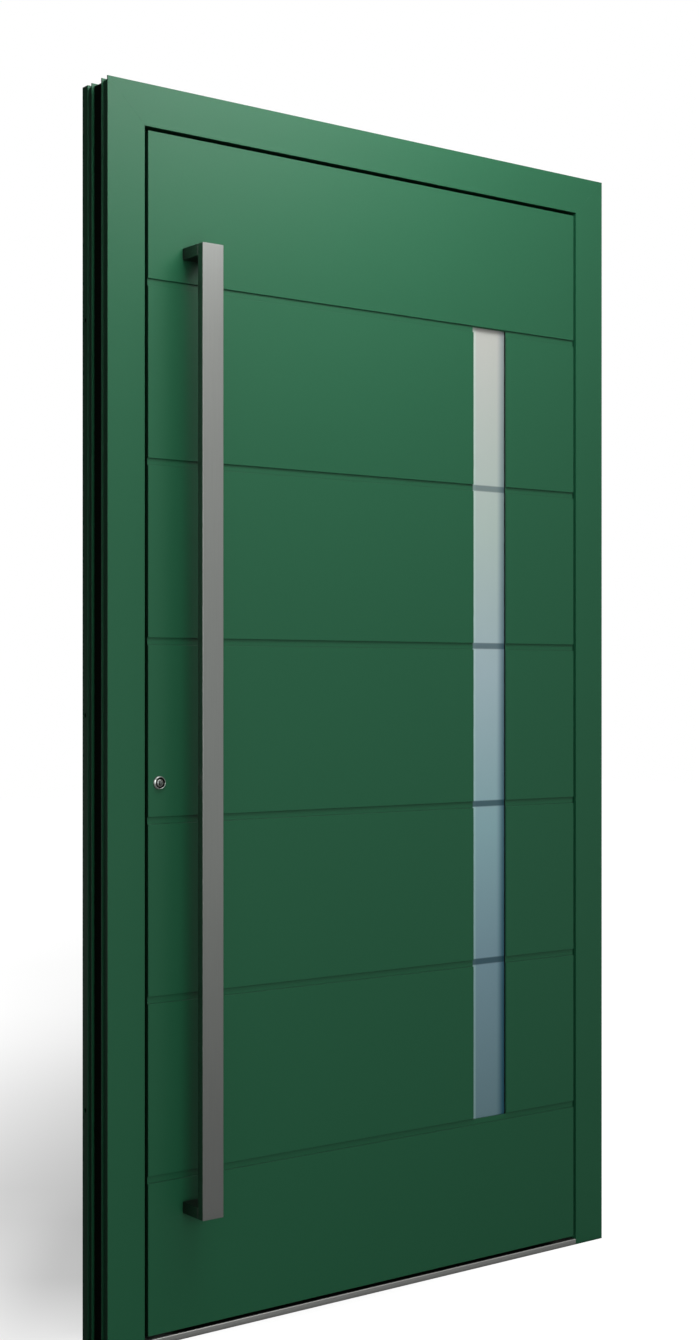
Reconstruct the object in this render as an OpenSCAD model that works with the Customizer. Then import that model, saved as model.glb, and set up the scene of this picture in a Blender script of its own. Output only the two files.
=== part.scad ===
// Aluminium entrance door with its frame: flush leaf with a grooved outer skin,
// a frosted glass strip, a long pull bar outside and a lever inside, a lock with
// three bolts, and a low threshold. Opens inward on three barrel hinges.
//
// X runs to the right as seen from outside, Y into the building, Z up.
// The origin is the middle of the threshold's underside.
// In the profiles, u is the distance in from the frame's outer edge and v the
// distance in from its outside face.

/* [Overall] */
// Width across both jambs
frame_w = 1150; // [1000:10:1300]
// Height from the underside of the threshold to the top of the head
frame_h = 2150; // [1950:10:2400]
// Depth from the outside face to the inside face
frame_d = 86; // [80:1:100]
// Shadow gap round the leaf, seen from outside
gap = 7; // [5:0.5:9]

/* [Frame profile] */
// Visible width of the jambs and head from outside
frame_face = 72; // [66:1:90]
// Depth of the outer aluminium shell
outer_d = 22; // [18:1:26]
// Width of the inner aluminium shell
inner_w = 50; // [46:1:54]
// Thickness of the hollow profiles' walls
wall = 2; // [1.5:0.1:2.5]
// How far the black middle of the frame's side stands back
side_recess = 5; // [4.5:0.5:7]
// Thickness of the flange along the front edge of the side
flange_t = 2.2; // [1.5:0.1:3]
// Depth of the grooves in the sides of both shells
groove_recess = 4; // [3.5:0.1:4.5]
// Thickness of the fins on both sides of the black middle
fin_t = 2; // [1.5:0.1:3]
// Depth of the flat on the rear shell's side
flat_d = 18; // [16:0.5:20]
// Thickness of the polyamide strips in the frame
strip_t = 2.5; // [2:0.1:3]
// Depth of the frame's groove that takes the strike plates
strike_seat = 3; // [2:0.1:4]

/* [Leaf profile] */
// Width of the stiles and rails, from the leaf's outside edge
stile_w = 56; // [50:1:64]
// Running gap between the inner shells of frame and leaf
inner_gap = 5; // [4:0.5:6]
// Room for the seal between the frame's stop and the leaf
stop_gap = 8; // [6:0.5:8]
// Thickness of the leaf's polyamide strips
lap_t = 3; // [2.5:0.1:3]
// Depth of the groove round the leaf's edge
hardware_groove = 6.5; // [6.4:0.1:8]
// Thickness of the outer skin
skin_t = 4; // [3.5:0.1:5]
// Thickness of the inner skin
inner_skin_t = 2; // [1.5:0.1:3]

/* [Grooves in the skin] */
// Number of horizontal grooves
groove_count = 6; // [4:1:6]
// Height of the lowest groove's upper edge above the leaf's bottom edge
groove_first = 272; // [230:1:300]
// Distance of the highest groove's upper edge below the leaf's top edge
groove_last = 251; // [230:1:300]
// Height of a groove
groove_w = 12.5; // [11:0.5:14]
// Depth of a groove
groove_depth = 2.8; // [1.5:0.1:3]

/* [Glass strip] */
// Width of the glass that shows
glass_w = 84; // [60:1:120]
// Distance from the leaf's right edge to the glass
glass_edge = 180; // [150:1:240]
// Distance of the glass's ends below the upper edges of the outermost grooves
glass_drop = 2; // [1:0.5:6]
// Depth of the glass behind the skin's face
glass_recess = 8; // [6:0.5:10]
// How far the glass runs on behind the skin
glass_lap = 12; // [10:1:16]
// Thickness of the outer pane
pane_out_t = 6; // [4:0.5:8]
// Thickness of the two clear panes
pane_in_t = 4; // [3:0.5:5]
// Width of the spacers between the panes
spacer_t = 15; // [12:1:16]
// Width of the glazing frame's flange on the inside
bead_w = 20; // [18:1:26]
// Thickness of the glazing frame
bead_t = 2; // [1.5:0.1:3]

/* [Threshold] */
// Height of the threshold's outer part
sill_h = 11; // [9:0.5:14]
// Height of the threshold's inner part
sill_low = 5; // [4:0.5:6]
// Gap between the inner part and the leaf
sill_gap = 7; // [5:0.5:9]

/* [Pull bar] */
// Width of the bar
bar_w = 42; // [30:1:50]
// Thickness of the bar
bar_t = 16; // [12:1:20]
// Height of its lower end above the leaf's bottom edge
bar_bottom = 199; // [150:1:220]
// Distance of its upper end below the leaf's top edge
bar_top = 192; // [150:1:220]
// Distance of the bar from the leaf's left edge
bar_edge = 69; // [66:1:90]
// Distance of the bar's front from the skin
bar_proj = 64; // [55:1:80]
// Height of the two legs
leg_h = 20; // [18:1:30]

/* [Lock] */
// Height of the cylinder's axis
cyl_z = 960; // [940:5:1000]
// Distance of the cylinder's axis from the leaf's left edge
cyl_edge = 22; // [20:1:26]
// Height of the lever above the cylinder
lever_rise = 92; // [90:1:96]
// Outer radius of the collar round the cylinder
collar_r = 12; // [11.5:0.5:16]
// How far the collar stands out
collar_t = 4; // [3:0.5:7]
// Radius of the cylinder's round part
cyl_r = 8.5; // [8:0.1:9]
// Height of the cylinder's tail below its axis
cyl_tail = 24.5; // [24:0.1:26]
// Width of the cylinder's tail
cyl_tail_w = 10; // [9:0.1:11]
// Radius of the plug that turns
plug_r = 6.5; // [6:0.1:7]
// Height of the lower extra bolt
bolt_low = 330; // [300:5:380]
// Distance of the upper extra bolt below the leaf's top edge
bolt_top = 341; // [320:1:400]
// How far the bolts travel
bolt_throw = 20; // [15:1:22]
// How far the latch stands out
latch_out = 12; // [10:0.5:13]
// Thickness of the latch and the deadbolt
bolt_t = 12; // [10:0.5:12]
// Radius of the extra bolts
pin_bolt_r = 5; // [4:0.5:6]
// Width of the long faceplate and the strike plates
face_w = 20; // [18:0.5:20]
// Thickness of the faceplate
face_t = 3; // [2.5:0.1:3]
// Height of the faceplate's lower end
face_z = 200; // [180:5:240]
// Distance of its upper end below the leaf's top edge
face_top = 171; // [150:1:220]
// Width of the flat rods behind the faceplate
rod_w = 10; // [8:0.5:12]

/* [Inside handle] */
// Length of the lever's grip
grip_l = 125; // [110:1:140]
// Height of the lever's grip
grip_h = 18; // [16:1:22]
// Thickness of the lever's grip
grip_t = 12; // [10:1:16]
// Room for the fingers behind the grip
grip_room = 36; // [32:1:45]
// Width of the plate behind lever and thumbturn
plate_w = 36; // [32:1:42]
// Thickness of that plate
plate_t = 8; // [6:0.5:10]

/* [Hinges] */
// Distance of the end hinges from the frame's ends
hinge_end = 250; // [220:5:300]
// Length of a hinge
hinge_l = 110; // [100:2:120]
// Radius of the hinge barrel
barrel_r = 9; // [8.5:0.1:9]
// Radius of the hinge pin
pin_r = 5; // [4:0.1:5]
// Distance of the hinge axis from the inside face
axis_out = 13; // [13:0.5:16]
// Thickness of the hinge wings
wing_t = 4; // [3:0.5:4]
// Width of the hinge wings
wing_w = 40; // [36:1:42]
// Length of a frame knuckle
knuckle_l = 34; // [30:1:36]

/* [Fixings] */
// Radius of the holes for the screws into the wall
fix_r = 4.25; // [3.5:0.25:5]
// Distance of the outer wall screws from the frame's ends
fix_end = 400; // [380:10:450]
// Distance of the wall screws from the inside face
fix_v = 9; // [8:0.5:10]
// Radius of the countersunk screws' shanks
screw_r = 2.4; // [2:0.1:2.4]
// Radius of their heads
screw_head_r = 4.5; // [4:0.1:5]
// Length of the countersunk screws
screw_l = 13; // [12:0.5:14]

/* [Hidden] */
$fn = 48;
fit = 0.3;           // clearance between pieces that are not fixed to each other
run = 0.05;          // radial clearance of a pin in its bore
slot = 1;            // clearance of a routed cut-out round what sits in it
eps = 0.5;           // overshoot of a cut beyond the face it opens
stop_v = outer_d + stop_gap;              // front of the leaf's rebate
inner_v = stop_v + lap_t + face_w + slot; // front of the inner shells
inner_d = frame_d - inner_v;              // depth of the inner shells
lap_u = inner_w + inner_gap;              // leaf's edge inside
leaf_u = frame_face + gap;                // leaf's edge outside
stile_u = leaf_u + stile_w;               // inner edge of the stiles
web_u = lap_u + hardware_groove;          // floor of the leaf's groove
seat_u = inner_w - strike_seat;           // floor of the frame's groove
lock_v = (stop_v + lap_t + inner_v) / 2;  // middle of both grooves
skin_v = frame_d - inner_skin_t;          // back of the inner skin
leaf_z = sill_h + gap;                    // leaf's bottom edge outside
lap_z = sill_low + sill_gap;              // leaf's bottom edge inside
rail_z = leaf_z + stile_w;                // top of the bottom rail
leaf_x = frame_w / 2 - leaf_u;            // leaf's side edges outside
lap_x = frame_w / 2 - lap_u;              // leaf's side edges inside
stile_x = frame_w / 2 - stile_u;          // inner edges of the stiles
leaf_top = frame_h - leaf_u;
lap_top = frame_h - lap_u;
rail_top = frame_h - stile_u;
reach = 2 * stile_u;                      // size of the mitre cutters
groove_z0 = leaf_z + groove_first;        // upper edges of the lowest and the highest groove
groove_z1 = leaf_top - groove_last;
glass_z0 = groove_z0 - glass_drop;
glass_z1 = groove_z1 - glass_drop;
groove_pitch = (groove_z1 - groove_z0) / (groove_count - 1);
glass_x1 = leaf_x - glass_edge;
glass_x0 = glass_x1 - glass_w;
clear_v = glass_recess + pane_out_t;      // back of the outer pane
pane_in_v = clear_v + 2 * (spacer_t + pane_in_t);   // back of the inner pane
seal_t = 4;                               // thickness of the inner glazing seal
glass_edge_gap = 2;                       // from the panes' edges to what lies round them
bar_x = bar_edge - leaf_x;
bar_z = leaf_z + bar_bottom;
bar_l = leaf_top - bar_top - bar_z;
bolt_high = leaf_top - bolt_top;
face_l = leaf_top - face_top - face_z;
leg_zs = [bar_z + leg_h / 2, bar_z + bar_l - leg_h / 2];
stud_r = 4;
stud_head_r = 8;
stud_head_t = 4;
stud_grip = 20;                           // how far a stud enters the leg
cyl_x = cyl_edge - leaf_x;
lever_z = cyl_z + lever_rise;
cam_t = 9;                                // thickness of the cam on the plug
cam_w = 6;
cam_r = 13.5;                             // how far it reaches from the plug's axis
cam_room = 15;
turn_step = lock_v + cam_t / 2;           // where the plug meets the thumbturn
plug_out = 2;                             // how far the plug stands out of the skin
key_slot = [2, 8, 12];                    // width, height and depth of the key's slot
cyl_screw_in = 4;                         // screw that holds the cylinder, above its tail's end
cyl_screw_z = cyl_z - cyl_tail + cyl_screw_in;
follower_r = 10;                          // the part in the case that the lever turns
follower_t = 12;
dead_rise = 33;                           // height of the deadbolt above the cylinder
dead_z = cyl_z + dead_rise;
dead_h = 32;
latch_h = 30;
bolt_body = 40;                           // length of a bolt inside the leaf
bolt_tip = 2;                             // chamfer on the front of a bolt
latch_in = cyl_x + lap_x - follower_r - latch_out - slot;   // latch's length inside the leaf
case_t = 16;
case_wall = 1.5;
case_u1 = 122;                            // far side of the main lock case
case_end = 50;                            // from the cylinder's and the lever's axes to the case's ends
case_z = [cyl_z - case_end, lever_z + case_end];
pin_case_h = 60;
pin_case_u1 = 102;
rod_t = hardware_groove - face_t - 2 * fit;
strike_end = 10;                          // screw centre from a strike plate's end
strike_over = 20;                         // how far a strike plate runs on past its hole
strike_z = [dead_z - dead_h / 2 - strike_over, lever_z + latch_h / 2 + strike_over];
pin_strike_h = 2 * (pin_bolt_r + strike_over);
face_end = 15;                            // end screws of the faceplate from its ends
face_next = 70;                           // second screws from its ends
face_screws = [for (d = [face_end, face_next]) each [face_z + d, face_z + face_l - d]];
rod_gap = 3;                              // from a moved rod to what lies above it
plate_end = 48;                           // from the two axes to the handle plate's ends
plate_screw = 37;                         // from the two axes to the plate's screws
turn_base_r = 14;                         // foot of the thumbturn
turn_base_t = 4;
turn_t = 7;                               // its grip
turn_w = 26;
turn_out = 18;
spindle_in = 0.6;                         // share of the lever's neck that the spindle fills
square = 8;                               // side of the lever's square spindle
hub_r = 8.9;
head_h = 2.6;                             // depth of a countersunk head
hinge_zs = [hinge_end, frame_h / 2, frame_h - hinge_end];
hinge_x = frame_w / 2 - (inner_w + lap_u) / 2;
hinge_y = frame_d + axis_out;
bush_t = 1.6;
bush_r = pin_r + bush_t;
bush_flange = 1;
pin_cap = 3;                              // head of a hinge pin
pin_over = 1;                             // how far the pin stands out of its lower end
leaf_knuckle = hinge_l - 2 * knuckle_l - 2 * (bush_flange + fit);
wing_gap = 3;                             // from the hinge axis to the leaf wing's edge
wing_far = 30;                            // screws along a wing, from its near edge
wing_next = 14;
wing_end = 15;                            // outer screws from a wing's ends, inner ones from its middle
wing_screws = [for (s = [-1, 1]) each [[s * wing_end, wing_far], [s * (hinge_l / 2 - wing_end), wing_next]]];
fix_zs = [fix_end, frame_h / 2, frame_h - fix_end];
gasket_edge = 7;
gasket_u = frame_face - gasket_edge;      // middle of the frame seal
gasket_w = 6;
gasket_lip = 1;
gasket_lip_h = 2.5;
side_seal_in = 16;
side_seal_v = frame_d - side_seal_in;     // seal on the leaf's edge
side_seal_t = 4;
brush_w = 12;                             // brush under the leaf
cleat_l = 60;
chamfer = 1;                              // small chamfers of profiles and threshold
strip_in = 1;                             // polyamide strips from the leaf shells' sides
green = [0.10, 0.31, 0.20];
black = [0.05, 0.05, 0.06];
steel = [0.58, 0.58, 0.56];
silver = [0.72, 0.73, 0.74];
zinc = [0.66, 0.67, 0.68];

// ---- shared forms ----

// Moves a piece from profile depths (v = 0 at the outside face) to the part's frame
module placed() translate([0, -frame_d / 2, 0]) children();

// Half-space on one side of the left mitre: above it for a jamb, below it for a head
module mitre_half(above) {
    translate([-frame_w / 2, -reach, frame_h]) rotate([0, 45, 0])
        translate([-reach, 0, above ? 0 : -2 * reach]) cube([2 * reach, 3 * reach, 2 * reach]);
}

// Left upright from a (u, v) outline, mitred at its top
module upright(from_z) {
    difference() {
        translate([-frame_w / 2, 0, from_z]) linear_extrude(frame_h - from_z) children();
        mitre_half(true);
    }
}

// Top member from the same outline, mitred at both ends
module header() {
    difference() {
        translate([-frame_w / 2, 0, frame_h]) rotate([0, 90, 0]) linear_extrude(frame_w) children();
        mitre_half(false);
        mirror([1, 0, 0]) mitre_half(false);
    }
}

// Box given by two corners
module box(a, b) translate(a) cube(b - a);

// Rectangular ring in the XZ plane between depths y0 and y1
module ring(inner, outer, y0, y1) {
    difference() {
        box([glass_x0 - outer, y0, glass_z0 - outer], [glass_x1 + outer, y1, glass_z1 + outer]);
        box([glass_x0 - inner, y0 - eps, glass_z0 - inner],
            [glass_x1 + inner, y1 + eps, glass_z1 + inner]);
    }
}

// Countersunk screw: head level with z = 0, shank towards -z
module screw() {
    difference() {
        union() {
            translate([0, 0, -head_h]) cylinder(h = head_h, r1 = screw_r, r2 = screw_head_r);
            translate([0, 0, -screw_l]) cylinder(h = screw_l - head_h, r = screw_r);
        }
        translate([0, 0, -head_h * 0.8]) cylinder(h = head_h, r = screw_r * 0.7, $fn = 6);
    }
}

// The hole that screw() goes through
module screw_hole() {
    translate([0, 0, -head_h - run]) cylinder(h = head_h, r1 = screw_r + run, r2 = screw_head_r + run);
    translate([0, 0, -run - eps / 10]) cylinder(h = eps, r = screw_head_r + run);
    translate([0, 0, -screw_l - eps]) cylinder(h = screw_l, r = screw_r + run);
}

// ---- frame ----

module frame_outer_2d() {
    difference() {
        union() {
            polygon([
                [0, 0], [frame_face, 0], [frame_face, outer_d], [0, outer_d], [0, outer_d - fin_t],
                [groove_recess, outer_d - fin_t], [groove_recess, flange_t], [0, flange_t]
            ]);
            for (s = [-1, 1])
                translate([gasket_u + s * (gasket_w / 2 + run + gasket_lip / 2) - gasket_lip / 2,
                           outer_d - eps])
                    square([gasket_lip, gasket_lip_h + eps]);
        }
        translate([side_recess + wall, wall])
            square([frame_face - side_recess - 2 * wall, outer_d - 2 * wall]);
    }
}

module frame_inner_2d() {
    difference() {
        polygon([
            [inner_w, inner_v], [inner_w, frame_d], [0, frame_d], [0, frame_d - flat_d],
            [groove_recess, frame_d - flat_d], [groove_recess, inner_v + fin_t],
            [0, inner_v + fin_t], [0, inner_v]
        ]);
        translate([side_recess + wall, inner_v + wall])
            square([inner_w - side_recess - 2 * wall, inner_d - 2 * wall]);
        translate([wall, frame_d - flat_d + wall])
            square([side_recess - wall, flat_d - 2 * wall]);
    }
}

module frame_breaks_2d() {
    translate([side_recess, outer_d]) square([strip_t, inner_v - outer_d]);
    translate([seat_u - strip_t, outer_d]) square([strip_t, inner_v - outer_d]);
}

// Holes through the inner shell for the screws into the wall
module wall_fix_holes() {
    for (z = fix_zs) translate([-frame_w / 2 - eps, frame_d - fix_v, z])
        rotate([0, 90, 0]) cylinder(h = inner_w + 2 * eps, r = fix_r);
}

module jamb_left_outer() placed() color(green) upright(0) frame_outer_2d();
module jamb_right_outer() mirror([1, 0, 0]) jamb_left_outer();

module jamb_left_inner() placed() color(green) difference() {
    upright(0) frame_inner_2d();
    wall_fix_holes();
}

module jamb_right_inner() placed() color(green) difference() {
    mirror([1, 0, 0]) difference() {
        upright(0) frame_inner_2d();
        wall_fix_holes();
    }
    hinge_screws_at(1) cylinder(h = 4 * screw_l, r = screw_r + run, center = true);
}

// Hole for a bolt half as thick as hy and half as high as hz, grown by c, from the floor of the
// frame's groove: outward by depth and inward through the strike plate
module bolt_hole(z, hy, hz, c, depth) box([-frame_w / 2 + seat_u - depth - eps, lock_v - hy - c, z - hz - c],
                                          [-frame_w / 2 + inner_w + eps, lock_v + hy + c, z + hz + c]);

module jamb_left_breaks() placed() color(black) difference() {
    upright(0) frame_breaks_2d();
    bolt_hole(dead_z, bolt_t / 2, dead_h / 2, slot, strip_t);
    bolt_hole(lever_z, bolt_t / 2, latch_h / 2, slot, strip_t);
    for (z = [bolt_low, bolt_high]) bolt_hole(z, pin_bolt_r, pin_bolt_r, slot, strip_t);
    strike_screws_at() cylinder(h = 4 * screw_l, r = screw_r + run, center = true);
}

module jamb_right_breaks() placed() color(black) mirror([1, 0, 0]) upright(0) frame_breaks_2d();
module head_outer() placed() color(green) header() frame_outer_2d();
module head_inner() placed() color(green) header() frame_inner_2d();
module head_breaks() placed() color(black) header() frame_breaks_2d();

// Angle that joins two mitred members inside their chambers
module cleat(u0, u1, v0, v1) {
    x0 = -frame_w / 2 + u0 + fit;
    x1 = -frame_w / 2 + u1 - fit;
    z0 = frame_h - u1 + fit;
    z1 = frame_h - u0 - fit;
    box([x0, v0 + fit, z0 - cleat_l], [x1, v1 - fit, z1]);
    box([x0, v0 + fit, z0], [x1 + cleat_l, v1 - fit, z1]);
}

module frame_cleats() placed() color(zinc) for (m = [0, 1]) mirror([m, 0, 0]) {
    cleat(side_recess + wall, frame_face - wall, wall, outer_d - wall);
    cleat(side_recess + wall, inner_w - wall, inner_v + wall, frame_d - wall);
}

module frame_gasket_2d() {
    translate([gasket_u - gasket_w / 2, outer_d]) square([gasket_w, stop_gap - fit]);
    translate([gasket_u - gasket_w / 2 - gasket_lip, outer_d + gasket_lip_h + fit])
        square([gasket_w + 2 * gasket_lip, stop_gap / 2 - gasket_lip_h / 2]);
}

module frame_gasket() placed() color(black) {
    for (m = [0, 1]) mirror([m, 0, 0]) upright(sill_low + fit) frame_gasket_2d();
    header() frame_gasket_2d();
}

// ---- threshold ----

module threshold() placed() color(silver) {
    x = frame_w / 2 - frame_face - fit;
    translate([-x, 0, 0]) rotate([90, 0, 90]) linear_extrude(2 * x) polygon([
        [0, 0], [wall, 0], [wall, sill_h - wall], [outer_d - wall, sill_h - wall],
        [outer_d - wall, sill_low - wall], [frame_d - wall, sill_low - wall], [frame_d - wall, 0],
        [frame_d, 0], [frame_d, sill_low], [outer_d, sill_low], [outer_d, sill_h - chamfer],
        [outer_d - chamfer, sill_h], [chamfer, sill_h], [0, sill_h - chamfer]
    ]);
}

module threshold_base() placed() color(black) {
    x = frame_w / 2 - frame_face - fit;
    translate([-x, 0, 0]) rotate([90, 0, 90]) linear_extrude(2 * x) polygon([
        [wall, 0], [frame_d - wall, 0], [frame_d - wall, sill_low - wall],
        [outer_d - wall, sill_low - wall], [outer_d - wall, sill_h - wall], [wall, sill_h - wall]
    ]);
}

module threshold_end_blocks() placed() color(black) for (m = [0, 1]) mirror([m, 0, 0])
    box([-frame_w / 2 + inner_w + fit, outer_d + gasket_lip_h + fit, 0],
        [-frame_w / 2 + frame_face, frame_d, sill_low]);

// ---- strike plates ----

// Places its children at every screw of the strike plates, pointing out of them
module strike_screws_at() {
    for (z = [strike_z[0] + strike_end, strike_z[1] - strike_end,
              for (p = [bolt_low, bolt_high]) for (s = [-1, 1]) p + s * (pin_strike_h / 2 - strike_end)])
        translate([-frame_w / 2 + inner_w, lock_v, z]) rotate([0, 90, 0]) children();
}

module strike_blank(z0, z1) box([-frame_w / 2 + seat_u, lock_v - face_w / 2, z0],
                                [-frame_w / 2 + inner_w, lock_v + face_w / 2, z1]);

module strike_main() placed() color(steel) difference() {
    strike_blank(strike_z[0], strike_z[1]);
    bolt_hole(dead_z, bolt_t / 2, dead_h / 2, slot / 2, 0);
    bolt_hole(lever_z, bolt_t / 2, latch_h / 2, slot / 2, 0);
    strike_screws_at() screw_hole();
}

module strikes_pin() placed() color(steel) difference() {
    for (z = [bolt_low, bolt_high]) strike_blank(z - pin_strike_h / 2, z + pin_strike_h / 2);
    for (z = [bolt_low, bolt_high]) bolt_hole(z, pin_bolt_r, pin_bolt_r, slot / 2, 0);
    strike_screws_at() screw_hole();
}

module frame_screws() placed() color(zinc) {
    strike_screws_at() screw();
    hinge_screws_at(1) screw();
}

// ---- hinges ----

// Places its children at every screw of the hinge wings, pointing out of the wing.
// side 1 is the frame's wing, side -1 the leaf's
module hinge_screws_at(side) {
    for (z = hinge_zs, s = wing_screws)
        translate([hinge_x + side * (wing_near(side) + s[1]), frame_d + wing_t, z + s[0]])
            rotate([-90, 0, 0]) children();
}

// Distance from the hinge axis to the near edge of a wing
function wing_near(side) = side > 0 ? barrel_r + slot : wing_gap;

// Knuckle between two heights, with the web that ties it to its wing
module knuckle(side, z0, z1) {
    translate([hinge_x, hinge_y, z0]) cylinder(h = z1 - z0, r = barrel_r);
    box([side > 0 ? hinge_x : hinge_x - barrel_r, frame_d, z0],
        [side > 0 ? hinge_x + barrel_r : hinge_x, hinge_y, z1]);
}

module wing_plate(side, z0, z1) {
    near = side * wing_near(side);
    far = near + side * wing_w;
    box([hinge_x + min(near, far), frame_d, z0], [hinge_x + max(near, far), frame_d + wing_t, z1]);
}

module hinge_frame_wings() placed() color(silver) difference() {
    for (z = hinge_zs) {
        wing_plate(1, z - hinge_l / 2, z + hinge_l / 2);
        for (s = [-1, 1]) {
            z0 = z + s * (hinge_l - knuckle_l) / 2 - knuckle_l / 2;
            knuckle(1, z0, z0 + knuckle_l);
            box([hinge_x + barrel_r - slot, frame_d, z0],
                [hinge_x + barrel_r + slot + eps, frame_d + wing_t, z0 + knuckle_l]);
        }
    }
    for (z = hinge_zs) translate([hinge_x, hinge_y, z])
        cylinder(h = hinge_l + 2 * eps, r = pin_r + run, center = true);
    hinge_screws_at(1) screw_hole();
}

module hinge_leaf_wings() placed() color(silver) difference() {
    for (z = hinge_zs) {
        wing_plate(-1, z - hinge_l / 2, z + hinge_l / 2);
        knuckle(-1, z - leaf_knuckle / 2, z + leaf_knuckle / 2);
    }
    for (z = hinge_zs) translate([hinge_x, hinge_y, z])
        cylinder(h = leaf_knuckle + 2 * eps, r = bush_r + run / 2, center = true);
    hinge_screws_at(-1) screw_hole();
}

module hinge_pins() placed() color(zinc) for (z = hinge_zs) translate([hinge_x, hinge_y, z - hinge_l / 2]) {
    translate([0, 0, -pin_over]) cylinder(h = hinge_l + pin_over + pin_cap / 2, r = pin_r);
    translate([0, 0, hinge_l]) cylinder(h = pin_cap, r1 = barrel_r, r2 = barrel_r - chamfer);
}

module hinge_bushes() placed() color(black) for (z = hinge_zs, s = [0, 1])
    translate([hinge_x, hinge_y, z]) mirror([0, 0, s]) difference() {
        union() {
            translate([0, 0, fit]) cylinder(h = leaf_knuckle / 2 - fit, r = bush_r);
            translate([0, 0, leaf_knuckle / 2]) cylinder(h = bush_flange, r = barrel_r);
        }
        cylinder(h = hinge_l, r = pin_r + run);
    }

// ---- leaf ----

module leaf_outer_2d() difference() {
    translate([leaf_u, skin_t]) square([stile_w, outer_d - skin_t]);
    translate([leaf_u + wall, skin_t + wall]) square([stile_w - 2 * wall, outer_d - skin_t - 2 * wall]);
}

module leaf_inner_2d() difference() {
    translate([lap_u, inner_v]) square([stile_u - lap_u, skin_v - inner_v]);
    translate([lap_u + wall, inner_v + wall])
        square([stile_u - lap_u - 2 * wall, skin_v - inner_v - 2 * wall]);
}

// The stepped strip forms the rebate and the hardware groove; the other is a plain strip
module leaf_breaks_2d() {
    polygon([
        [leaf_u + strip_in, outer_d], [leaf_u + strip_in + lap_t, outer_d],
        [leaf_u + strip_in + lap_t, stop_v + lap_t],
        [web_u + lap_t, stop_v + lap_t], [web_u + lap_t, inner_v], [web_u, inner_v],
        [web_u, stop_v + lap_t], [lap_u, stop_v + lap_t], [lap_u, stop_v], [leaf_u + strip_in, stop_v]
    ]);
    translate([stile_u - strip_in - lap_t, outer_d]) square([lap_t, inner_v - outer_d]);
}

// Everything that the lock needs cut out of the lock stile
module lock_cuts() {
    cylinder_form(slot, frame_d);
    translate([cyl_x, frame_d, lever_z]) rotate([90, 0, 0])
        cylinder(h = frame_d - lock_v, r = hub_r + slot);
    case_room(case_z, case_u1);
    for (z = [bolt_low, bolt_high]) case_room([z - pin_case_h / 2, z + pin_case_h / 2], pin_case_u1);
}

// Room routed for one lock case behind the faceplate
module case_room(zs, u1) box([-frame_w / 2 + web_u - fit, lock_v - case_t / 2 - fit, zs[0] - fit],
                             [-frame_w / 2 + u1 + fit, lock_v + case_t / 2 + fit, zs[1] + fit]);

module stile_lock_outer() placed() color(green) difference() {
    upright(leaf_z) leaf_outer_2d();
    cylinder_form(slot, outer_d + eps);
}

module stile_lock_inner() placed() color(green) difference() {
    upright(lap_z) leaf_inner_2d();
    lock_cuts();
    plate_screws_at() cylinder(h = 2 * screw_l, r = screw_r + run, center = true);
}

module stile_hinge_outer() placed() color(green) mirror([1, 0, 0]) upright(leaf_z) leaf_outer_2d();

module stile_hinge_inner() placed() color(green) difference() {
    mirror([1, 0, 0]) upright(lap_z) leaf_inner_2d();
    hinge_screws_at(-1) cylinder(h = 4 * screw_l, r = screw_r + run, center = true);
}

module rail_top_outer() placed() color(green) header() leaf_outer_2d();
module rail_top_inner() placed() color(green) header() leaf_inner_2d();

// Hollow bar between the stiles
module bottom_tube(y0, y1, z0) difference() {
    box([-stile_x, y0, z0], [stile_x, y1, rail_z]);
    box([-stile_x - eps, y0 + wall, z0 + wall], [stile_x + eps, y1 - wall, rail_z - wall]);
}

module rail_bottom_outer() placed() color(green) bottom_tube(skin_t, outer_d, leaf_z);
module rail_bottom_inner() placed() color(green) bottom_tube(inner_v, skin_v, lap_z);

module leaf_breaks() placed() color(black) {
    difference() {
        upright(lap_z) leaf_breaks_2d();
        lock_cuts();
        face_screws_at() cylinder(h = 4 * screw_l, r = screw_r + run, center = true);
        brush_room();
    }
    difference() {
        mirror([1, 0, 0]) upright(lap_z) leaf_breaks_2d();
        brush_room();
    }
    header() leaf_breaks_2d();
    for (z = [leaf_z + strip_in, rail_z - strip_in - lap_t])
        box([-stile_x, outer_d, z], [stile_x, inner_v, z + lap_t]);
}

module leaf_cleats() placed() color(zinc) for (m = [0, 1]) mirror([m, 0, 0]) {
    cleat(leaf_u + wall, stile_u - wall, skin_t + wall, outer_d - wall);
    cleat(lap_u + wall, stile_u - wall, inner_v + wall, skin_v - wall);
    box([-stile_x, skin_t + wall + fit, leaf_z + wall + fit],
        [-stile_x + cleat_l, outer_d - wall - fit, rail_z - wall - fit]);
    box([-stile_x, inner_v + wall + fit, lap_z + wall + fit],
        [-stile_x + cleat_l, skin_v - wall - fit, rail_z - wall - fit]);
}

module outer_skin() placed() color(green) difference() {
    box([-leaf_x, 0, leaf_z], [leaf_x, skin_t, leaf_top]);
    for (i = [0:groove_count - 1])
        translate([0, 0, groove_z0 + i * groove_pitch])
            box([-leaf_x - eps, -eps, -groove_w], [leaf_x + eps, groove_depth, 0]);
    box([glass_x0, -eps, glass_z0], [glass_x1, skin_t + eps, glass_z1]);
    translate([cyl_x, -eps, cyl_z]) rotate([-90, 0, 0]) cylinder(h = skin_t + 2 * eps, r = cyl_r + fit);
    studs_at() cylinder(h = 2 * reach, r = stud_r + run, center = true);
}

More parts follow.
